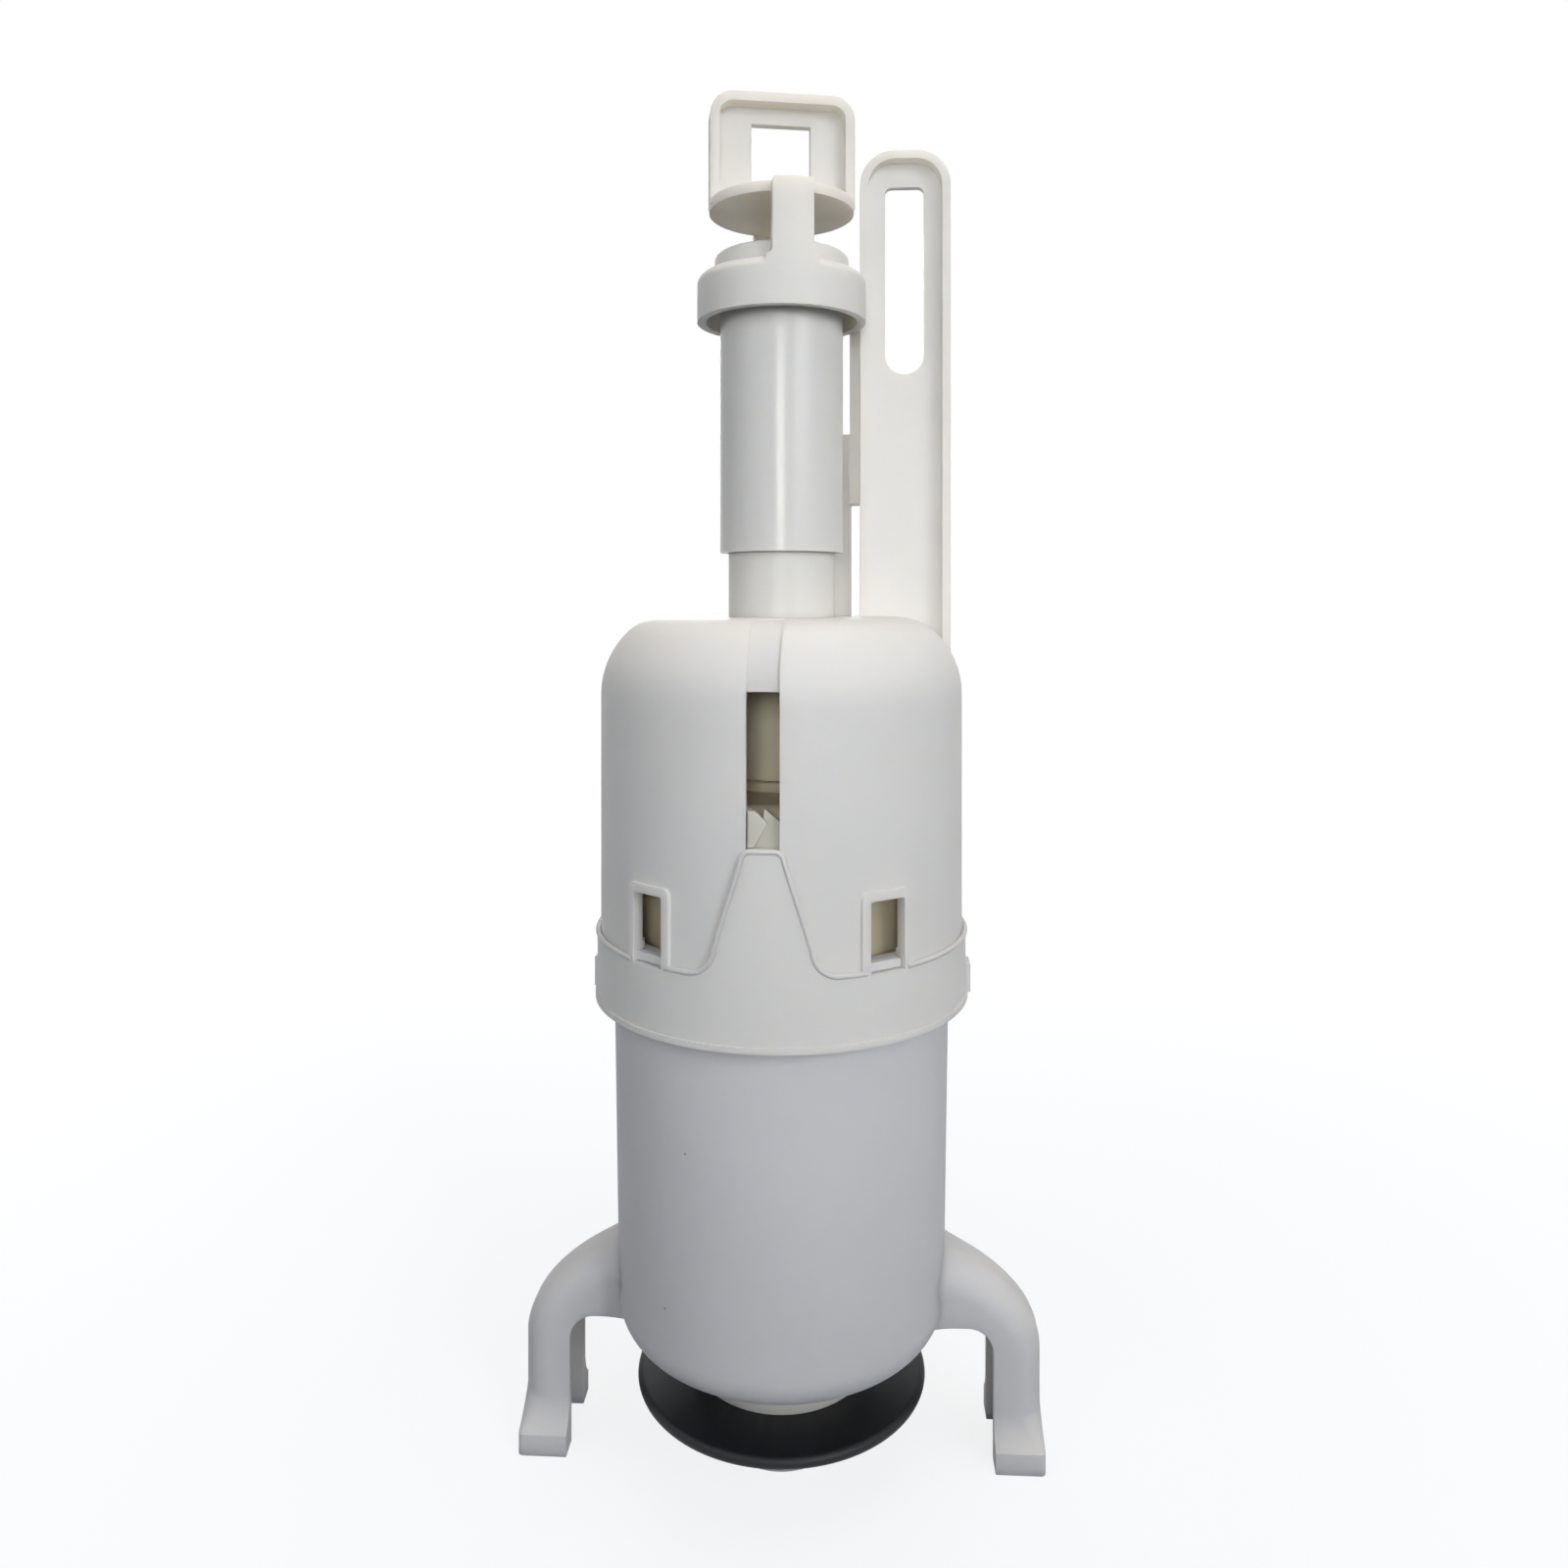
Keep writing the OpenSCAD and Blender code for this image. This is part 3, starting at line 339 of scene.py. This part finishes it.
def cup_shell():
    """The cup: a closed profile turned round the axis. It runs from the riser hole along the floor, round the
    corner and up the drafted wall to the rim, and comes back inside, one wall thickness in."""
    rim_z = CUP_RIM_Z - RIM_ROUND
    profile = np.concatenate([
        [[CUP_HOLE_R, CUP_FLOOR_Z]],
        arc(CORNER_R, CORNER_Z, CUP_CORNER, -90, 0, CORNER_STEPS),
        arc(CUP_RIM_R - RIM_ROUND, rim_z, RIM_ROUND, 0, 90, RIM_STEPS),
        arc(CUP_RIM_R - CUP_WALL + RIM_ROUND, rim_z, RIM_ROUND, 90, 180, RIM_STEPS),
        arc(CORNER_R, CORNER_Z, CUP_CORNER - CUP_WALL, 0, -90, CORNER_STEPS),
        [[CUP_HOLE_R, CUP_FLOOR_Z + CUP_WALL]]])
    turn = np.linspace(0, 2 * np.pi, CUP_SIDES, endpoint=False)
    r, z = profile[:, :1], profile[:, 1:]
    points = np.stack([r * np.cos(turn), r * np.sin(turn), z + 0 * turn], axis=-1)
    return outward(points.reshape(-1, 3), ring_quads(len(profile), len(turn), True))


def cup_r(z, inset=0.0):
    """Radius of the cup at height z, inset from its outside: along the draft above the corner, and round the
    corner below."""
    rise = (z - CORNER_Z) / (CUP_RIM_Z - CORNER_Z)
    up = CUP_BASE_R + (CUP_RIM_R - CUP_BASE_R) * rise - inset
    bend = CUP_CORNER - inset
    sunk = np.clip((CORNER_Z - z) / bend, 0, 1)
    return np.where(z > CORNER_Z, up, CORNER_R + bend * np.sqrt(1 - sunk ** 2))


def wall_line(round_r, half, inset):
    """One side of a leg's channel section at every station: up one flank, round two quarter circles and down
    the other flank, as arrays of share of the way in, distance in from the outer edge, and y."""
    r = np.maximum(round_r - inset, FOOT_ROUND / 2)[:, None]
    side = (half - inset)[:, None]
    t = np.radians(np.linspace(0, 90, ROUND_STEPS + 1))[None, :]
    near = inset + r * (1 - np.sin(t))
    over = side - r * (1 - np.cos(t))
    flank, edge = np.ones_like(side), np.zeros_like(near)
    share = np.concatenate([flank, edge, edge, flank], axis=1)
    away = np.concatenate([0 * side, near, near[:, ::-1], 0 * side], axis=1)
    y = np.concatenate([-side, -over, over[:, ::-1], side], axis=1)
    return share, away, y


def leg_shell():
    """A leg: a channel section lofted from the cup to the sole. Its outer edge is a cubic curve down to the
    knee and then upright, its inner edge the flat underside, a quarter circle and then upright. Near the cup
    the flanks run out along a circle that touches both flank and cup, and the root lies in the middle of the
    cup's wall. Towards the underside this fillet fades. At the foot the flanks run out to the toes along
    another circle."""
    t = np.linspace(0, 1, LEG_STEPS + 1)[:, None]
    curve = ((1 - t) ** 3 * LEG_ROOT + 3 * t * (1 - t) ** 2 * (LEG_ROOT + LEG_ROOT_WAY)
             + 3 * t ** 2 * (1 - t) * (LEG_KNEE + LEG_KNEE_WAY) + t ** 3 * LEG_KNEE)
    under_x = LEG_ROOT[0] + float(cup_r(LEG_UNDER_Z)) - CUP_BASE_R
    under = np.stack([np.linspace(under_x, LEG_IN - LEG_FILLET, UNDER_STEPS, endpoint=False),
                      np.full(UNDER_STEPS, LEG_UNDER_Z)], axis=1)
    bend = arc(LEG_IN - LEG_FILLET, LEG_UNDER_Z - LEG_FILLET, LEG_FILLET, 90, 0, LEG_STEPS - UNDER_STEPS)
    toe_z = np.concatenate([np.linspace(FOOT_TOP_Z, FOOT_H, TOE_STEPS + 1), [0.0]])
    outer = np.concatenate([curve, np.stack([0 * toe_z + LEG_KNEE[0], toe_z], axis=1)])
    inner = np.concatenate([under, bend, np.stack([0 * toe_z + LEG_IN, toe_z], axis=1)])
    slope_h = FOOT_TOP_Z - FOOT_H
    slope_r = (FOOT_OUT ** 2 + slope_h ** 2) / (2 * FOOT_OUT)
    drop = np.clip(FOOT_TOP_Z - outer[:, 1], 0, slope_h)
    drop[:len(curve)] = 0
    toe = slope_r - np.sqrt(slope_r ** 2 - drop ** 2)
    round_r = LEG_ROUND + (FOOT_ROUND - LEG_ROUND) * drop / slope_h
    outside = wall_line(round_r, LEG_HALF_W + toe, 0.0)
    inside = wall_line(round_r, LEG_HALF_W + 0 * toe, LEG_WALL)
    share, away, y = (np.concatenate([a, b[:, ::-1]], axis=1) for a, b in zip(outside, inside))
    way = inner - outer
    part = share + away / np.linalg.norm(way, axis=1)[:, None]
    x = outer[:, :1] + way[:, :1] * part
    z = outer[:, 1:] + way[:, 1:] * part
    local_x = x - np.minimum(cup_r(z) - CUP_BASE_R, 0)
    fillet_in = np.clip(FILLET_X - local_x, 0, FILLET_REACH)
    fillet = ROOT_FILLET - np.sqrt(ROOT_FILLET ** 2 - fillet_in ** 2)
    fillet[:, x.shape[1] // 2:] = 0
    fillet *= np.clip((z - LEG_UNDER_Z) / UNDER_FADE, UNDER_SHARE, 1)
    y = y * (1 + fillet / LEG_HALF_W)
    x[0] = np.sqrt(cup_r(z[0], CUP_WALL / 2) ** 2 - y[0] ** 2)
    return lofted(np.stack([x, y, z], axis=-1))


def block_shell(low, high, turn=0.0):
    """A box between two corners, turned about the axis by an angle in degrees. Its corners are counted with x
    fastest and z slowest."""
    corners = np.indices((2, 2, 2)).reshape(3, -1)[::-1].T
    x, y, z = (low + (high - low) * corners).T
    c, s = math.cos(math.radians(turn)), math.sin(math.radians(turn))
    quads = np.array([[0, 2, 3, 1], [4, 5, 7, 6], [0, 1, 5, 4], [2, 6, 7, 3], [0, 4, 6, 2], [1, 3, 7, 5]])
    return outward(np.stack([c * x - s * y, s * x + c * y, z], axis=1), quads)


def mirrored(shell):
    """The shell on the other side of the axis, with its quads turned to face out again."""
    return outward(shell[0] * (-1, 1, 1), shell[1])


def joined(name, shells, material, rounding):
    """One object of several closed shells given in millimetres, smooth, with its sharp edges rounded."""
    starts = np.cumsum([0] + [len(points) for points, _ in shells[:-1]])
    points = np.concatenate([points for points, _ in shells]) * MM
    quads = np.concatenate([quads + start for (_, quads), start in zip(shells, starts)])
    mesh = bpy.data.meshes.new(name)
    mesh.from_pydata(points.tolist(), [], quads.tolist())
    mesh.polygons.foreach_set("use_smooth", np.ones(len(quads), dtype=bool))
    mesh.materials.append(material)
    piece = bpy.data.objects.new(name, mesh)
    bpy.context.scene.collection.objects.link(piece)
    round_edges(piece, rounding, segments=3)
    even_shading(piece)
    return piece


leg = leg_shell()
key = block_shell(KEY_LOW, KEY_HIGH)
tabs = [block_shell(TAB_LOW, TAB_HIGH, angle) for angle in TAB_ANGLES]
cup = joined("moulded_cup", [cup_shell(), leg, mirrored(leg), key, mirrored(key), *tabs], cup_white, CUP_EDGE)
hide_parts("lower_cup")
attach(cup, "housing")

# Bead along the top of the cap's band and the edge of its front panel, between window frames: millimetres
BEAD_R = 0.6
BEAD_RUN_R = 41.05
BEAD_Z = 115.45
BEAD_EDGE = 0.1
PANEL_FOOT, PANEL_TOP = 9.5, 4.2
PANEL_FILLET, PANEL_CORNER = 5.5, 2.0
PANEL_TOP_Z = 139.85
# Turn of the front panel and half the width of a window's frame, in degrees
FRONT_TURN = -2.0
FRAME_HALF_ANGLE = 6.8
# Points round the bead, along a run on the band and along each stretch of the panel's edge
BEAD_SIDES = 12
BAND_POINTS = 48
LOW_POINTS = 8
SLANT_POINTS = 14
FOOT_STEPS = 10
HEAD_STEPS = 8


def bead_tube(path):
    """A round bead: a circle carried along the path, in planes across it, with one of its axes pointing out
    from the part's axis."""
    along = np.gradient(path, axis=0)
    along /= np.linalg.norm(along, axis=1)[:, None]
    out = path * (1, 1, 0)
    out /= np.linalg.norm(out, axis=1)[:, None]
    side = np.cross(along, out)
    side /= np.linalg.norm(side, axis=1)[:, None]
    t = np.linspace(0, 2 * np.pi, BEAD_SIDES, endpoint=False)[None, :, None]
    return lofted(path[:, None] + BEAD_R * (np.cos(t) * out[:, None] + np.sin(t) * side[:, None]))


def round_run(start, stop):
    """Path along the band's top between two angles from the front, in degrees."""
    a = np.radians(np.linspace(start, stop, BAND_POINTS))
    return np.stack([BEAD_RUN_R * np.sin(a), -BEAD_RUN_R * np.cos(a), BEAD_Z + 0 * a], axis=1)


def panel_run(end_x):
    """Path round the front panel, starting at the distance end_x from its middle: along the band, up a
    quarter circle and the slanting edge, round the corner under the slot, and the same again mirrored. It
    lies on the band's cylinder."""
    flare = PANEL_FOOT + PANEL_FILLET
    low_x = np.linspace(end_x, flare, LOW_POINTS, endpoint=False)
    low = np.stack([low_x, np.full(LOW_POINTS, BEAD_Z)], axis=1)
    foot = arc(flare, BEAD_Z + PANEL_FILLET, PANEL_FILLET, 270, 180, FOOT_STEPS)
    head = arc(PANEL_TOP - PANEL_CORNER, PANEL_TOP_Z - PANEL_CORNER, PANEL_CORNER, 0, 90, HEAD_STEPS)
    slant = foot[-1] + (head[0] - foot[-1]) * np.linspace(0, 1, SLANT_POINTS)[1:-1, None]
    half = np.concatenate([low, foot, slant, head])
    x, z = np.concatenate([half, (half * (-1, 1))[::-1]]).T
    a = np.arcsin(x / BEAD_RUN_R) + math.radians(FRONT_TURN)
    return np.stack([BEAD_RUN_R * np.sin(a), -BEAD_RUN_R * np.cos(a), z], axis=1)


right_front, left_front, left_rear, right_rear = TAB_ANGLES
window_x = BEAD_RUN_R * math.sin(math.radians(right_front - FRONT_TURN - FRAME_HALF_ANGLE))
runs = [panel_run(window_x)]
for start, stop in ((right_front, right_rear), (right_rear, left_rear), (left_rear, left_front + 360)):
    runs.append(round_run(start + FRAME_HALF_ANGLE, stop - FRAME_HALF_ANGLE))
bead = joined("band_bead", [bead_tube(run) for run in runs], cap_white, BEAD_EDGE)
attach(bead, "housing")

# Floor: half its width and how far out its glow starts and stops growing, in metres, and the glow at each
FLOOR_HALF = 4.0
GROW_START, GROW_STOP = 0.1, 0.6
NEAR_GLOW, FAR_GLOW = 0.83, 1.0
# Strength of the light from all round
FILL_STRENGTH = 0.25
WHITE = (1, 1, 1, 1)


def seen_directly(tree):
    """1 for rays that show the surroundings, straight, mirrored or through glass, and 0 for rays that only
    light."""
    path = add(tree, "ShaderNodeLightPath").outputs
    either = add(tree, "ShaderNodeMath", {"operation": "MAXIMUM"}, _0=path["Is Camera Ray"],
                 _1=path["Is Glossy Ray"])
    return add(tree, "ShaderNodeMath", {"operation": "MAXIMUM"}, _0=either.outputs[0],
               _1=path["Is Transmission Ray"]).outputs[0]


def pale_floor():
    """A pale floor that is seen white but for the object's soft shadow, and that throws back less light. Its
    own glow grows from the object outwards, so that the far floor meets the white behind it with no line."""
    material, tree, output = new_material("pale_floor")
    place = add(tree, "ShaderNodeTexCoord").outputs["Object"]
    away = add(tree, "ShaderNodeVectorMath", {"operation": "LENGTH"}, _0=place).outputs["Value"]
    glow = add(tree, "ShaderNodeMapRange", Value=away, From_Min=GROW_START, From_Max=GROW_STOP,
               To_Min=NEAR_GLOW, To_Max=FAR_GLOW)
    matt = add(tree, "ShaderNodeBsdfDiffuse", Color=linear("#6a717b"))
    shine = add(tree, "ShaderNodeEmission", Color=WHITE, Strength=glow.outputs["Result"])
    lit = add(tree, "ShaderNodeAddShader", _0=matt.outputs[0], _1=shine.outputs[0])
    mixed = add(tree, "ShaderNodeMixShader", _0=seen_directly(tree), _1=matt.outputs[0], _2=lit.outputs[0])
    tree.links.new(mixed.outputs[0], output.inputs["Surface"])
    return material


floor_corners = FLOOR_HALF * np.array([(-1, -1, 0), (1, -1, 0), (1, 1, 0), (-1, 1, 0)])
floor_mesh = bpy.data.meshes.new("floor")
floor_mesh.from_pydata(floor_corners.tolist(), [], [(0, 1, 2, 3)])
floor_mesh.materials.append(pale_floor())
floor = bpy.data.objects.new("floor", floor_mesh)
bpy.context.scene.collection.objects.link(floor)

world = bpy.data.worlds.new("studio")
bpy.context.scene.world = world
world.use_nodes = True
sky = world.node_tree
sky.nodes.clear()
fill = add(sky, "ShaderNodeBackground", Color=linear("#e6ebf3"), Strength=FILL_STRENGTH)
white = add(sky, "ShaderNodeBackground", Color=WHITE, Strength=1.0)
both = add(sky, "ShaderNodeMixShader", _0=seen_directly(sky), _1=fill.outputs[0], _2=white.outputs[0])
add(sky, "ShaderNodeOutputWorld", Surface=both.outputs[0])


def soft_lamp(name, place, aim_z, size, watts, colour, spread=180):
    """A soft box of that width and height at place, turned towards the height aim_z on the part's axis, in
    metres. A grid may narrow its spread in degrees."""
    lamp = bpy.data.lights.new(name, "AREA")
    lamp.shape = "RECTANGLE"
    lamp.size, lamp.size_y = size
    lamp.energy = watts
    lamp.spread = math.radians(spread)
    lamp.color = linear(colour)[:3]
    holder = bpy.data.objects.new(name, lamp)
    holder.location = place
    holder.rotation_euler = (Vector((0, 0, aim_z)) - Vector(place)).to_track_quat("-Z", "Y").to_euler()
    bpy.context.scene.collection.objects.link(holder)


soft_lamp("key_soft_box", place=(0.5, -0.52, 0.45), aim_z=0.2, size=(0.42, 0.42), watts=0.225,
          colour="#fffefa", spread=40)
soft_lamp("front_soft_box", place=(0.02, -0.8, 0.32), aim_z=0.22, size=(0.2, 0.2), watts=0.148,
          colour="#fffdf6", spread=40)
soft_lamp("key_strip", place=(0.36, -0.6, 0.45), aim_z=0.2, size=(0.05, 0.5), watts=0.75, colour="#fdfffc")
soft_lamp("left_soft_box", place=(-0.5, -0.5, 0.6), aim_z=0.22, size=(0.4, 0.4), watts=0.85, colour="#fdfdfb")
soft_lamp("top_soft_box", place=(0.05, 0.05, 1.1), aim_z=0.2, size=(0.9, 0.4), watts=4.9, colour="#ffefd6")
soft_lamp("rear_soft_box", place=(-0.1, 0.9, 0.4), aim_z=0.18, size=(0.3, 0.3), watts=0.08,
          colour="#fbfcff", spread=40)

# Camera at the photograph's place: level, about as high as the cap's top, a little to the right of the axis
PHOTO = 1600
FOCAL_PX = 1200
HORIZON_ROW = 613
AXIS_COLUMN = 797.5
CAMERA_AWAY = 267 * MM
CAMERA_HIGH = 188.2 * MM
CAMERA_TURN = math.radians(3.2)
lens = bpy.data.cameras.new("camera")
lens.sensor_width = 36
lens.lens = lens.sensor_width * FOCAL_PX / PHOTO
lens.shift_x = (PHOTO / 2 - AXIS_COLUMN) / PHOTO
lens.shift_y = (HORIZON_ROW - PHOTO / 2) / PHOTO
lens.clip_start = 1 * MM
camera = bpy.data.objects.new("camera", lens)
camera.location = (CAMERA_AWAY * math.sin(CAMERA_TURN), -CAMERA_AWAY * math.cos(CAMERA_TURN), CAMERA_HIGH)
camera.rotation_euler = (math.pi / 2, 0, CAMERA_TURN)
bpy.context.scene.collection.objects.link(camera)
bpy.context.scene.camera = camera
bpy.context.scene.view_settings.view_transform = "Standard"
